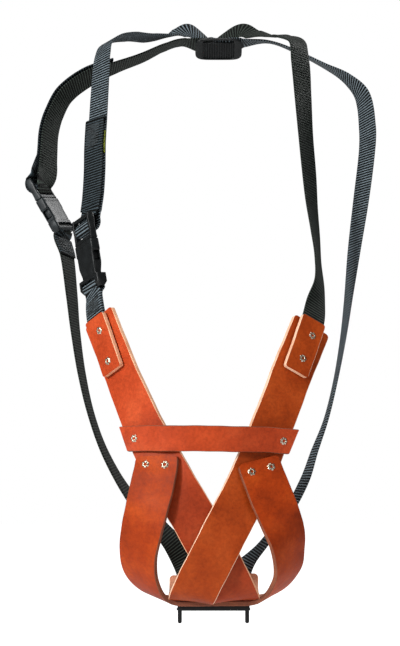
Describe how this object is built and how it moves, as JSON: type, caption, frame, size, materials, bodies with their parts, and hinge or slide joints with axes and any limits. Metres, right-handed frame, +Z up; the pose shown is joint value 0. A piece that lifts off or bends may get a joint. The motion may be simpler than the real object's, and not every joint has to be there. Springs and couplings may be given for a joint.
{
  "type": "leather and webbing carrying harness",
  "caption": "Leather basket harness with crossed chest straps, ribbed webbing braces over both shoulders, side-release buckles and a pronged base bracket.",
  "frame": {"origin": "middle of the underside of the base bracket's plate", "axes": "+Z up toward the shoulders, +Y from the chest side to the back side, +X to the viewer's right"},
  "size_m": [0.3558, 0.2919, 0.6022],
  "materials": {
    "russet_leather": "smooth oiled leather, satin",
    "dark_leather": "smooth oiled leather, satin, darker",
    "band_leather": "smooth oiled leather, satin",
    "webbing": "ribbed woven webbing",
    "webbing_fold": "ribbed woven webbing, folded and stitched",
    "yellow_thread": "narrow woven edge",
    "buckle_plastic": "moulded, semi-gloss",
    "rivet_nickel": "nickel plated, worn",
    "bracket_steel": "black satin paint"
  },
  "bodies": {
    "harness": {"left_chest_strap": "russet_leather", "right_chest_strap": "dark_leather", "cross_band": "band_leather", "basket_sling": "russet_leather", "left_shoulder_tab": "band_leather", "right_shoulder_tab": "band_leather", "left_tab_rivets": "rivet_nickel", "right_tab_rivets": "rivet_nickel", "band_rivets": "rivet_nickel", "sling_rivets": "rivet_nickel", "rear_rivets": "rivet_nickel", "base_rivets": "rivet_nickel", "left_brace": "webbing", "right_brace": "webbing", "front_return_leg": "webbing_fold", "side_return_leg": "webbing_fold", "side_web": "webbing", "front_web_loop": "webbing", "side_web_fold": "webbing_fold", "yellow_tape": "yellow_thread", "back_slider": "buckle_plastic", "front_receiver": "buckle_plastic", "side_receiver": "buckle_plastic", "base_bracket": "bracket_steel"},
    "front_insert": {"front_insert": "buckle_plastic", "front_lock_web": "webbing"},
    "front_arm_a": {"front_arm_a": "buckle_plastic"},
    "front_arm_b": {"front_arm_b": "buckle_plastic"},
    "side_insert": {"side_insert": "buckle_plastic", "side_lock_web": "webbing"},
    "side_arm_a": {"side_arm_a": "buckle_plastic"},
    "side_arm_b": {"side_arm_b": "buckle_plastic"}
  },
  "joints": [
    {"name": "front_release", "type": "slide", "parent": "harness", "child": "front_insert", "axis": [-0.171, 0.2509, 0.9528], "range_m": [0, 0.026]},
    {"name": "front_pinch_a", "type": "hinge", "parent": "front_insert", "child": "front_arm_a", "pos_m": [-0.1284, 0.06879, 0.34574], "axis": [-0.8374, -0.5466, -0.0063], "range_deg": [0, 7], "stiffness_Nm_per_rad": 0.05},
    {"name": "front_pinch_b", "type": "hinge", "parent": "front_insert", "child": "front_arm_b", "pos_m": [-0.11905, 0.05441, 0.35121], "axis": [-0.8374, -0.5466, -0.0063], "range_deg": [-7, 0], "stiffness_Nm_per_rad": 0.05},
    {"name": "side_release", "type": "slide", "parent": "harness", "child": "side_insert", "axis": [-0.4894, 0.1997, 0.8489], "range_m": [0, 0.026]},
    {"name": "side_pinch_a", "type": "hinge", "parent": "side_insert", "child": "side_arm_a", "pos_m": [-0.17002, 0.10653, 0.39337], "axis": [0.7629, -0.3736, 0.5277], "range_deg": [0, 7], "stiffness_Nm_per_rad": 0.05},
    {"name": "side_pinch_b", "type": "hinge", "parent": "side_insert", "child": "side_arm_b", "pos_m": [-0.16241, 0.12283, 0.39392], "axis": [0.7629, -0.3736, 0.5277], "range_deg": [-7, 0], "stiffness_Nm_per_rad": 0.05}
  ],
  "couplings": [
    {"joint": "front_pinch_b", "follows": "front_pinch_a", "ratio": -1},
    {"joint": "side_pinch_b", "follows": "side_pinch_a", "ratio": -1}
  ]
}
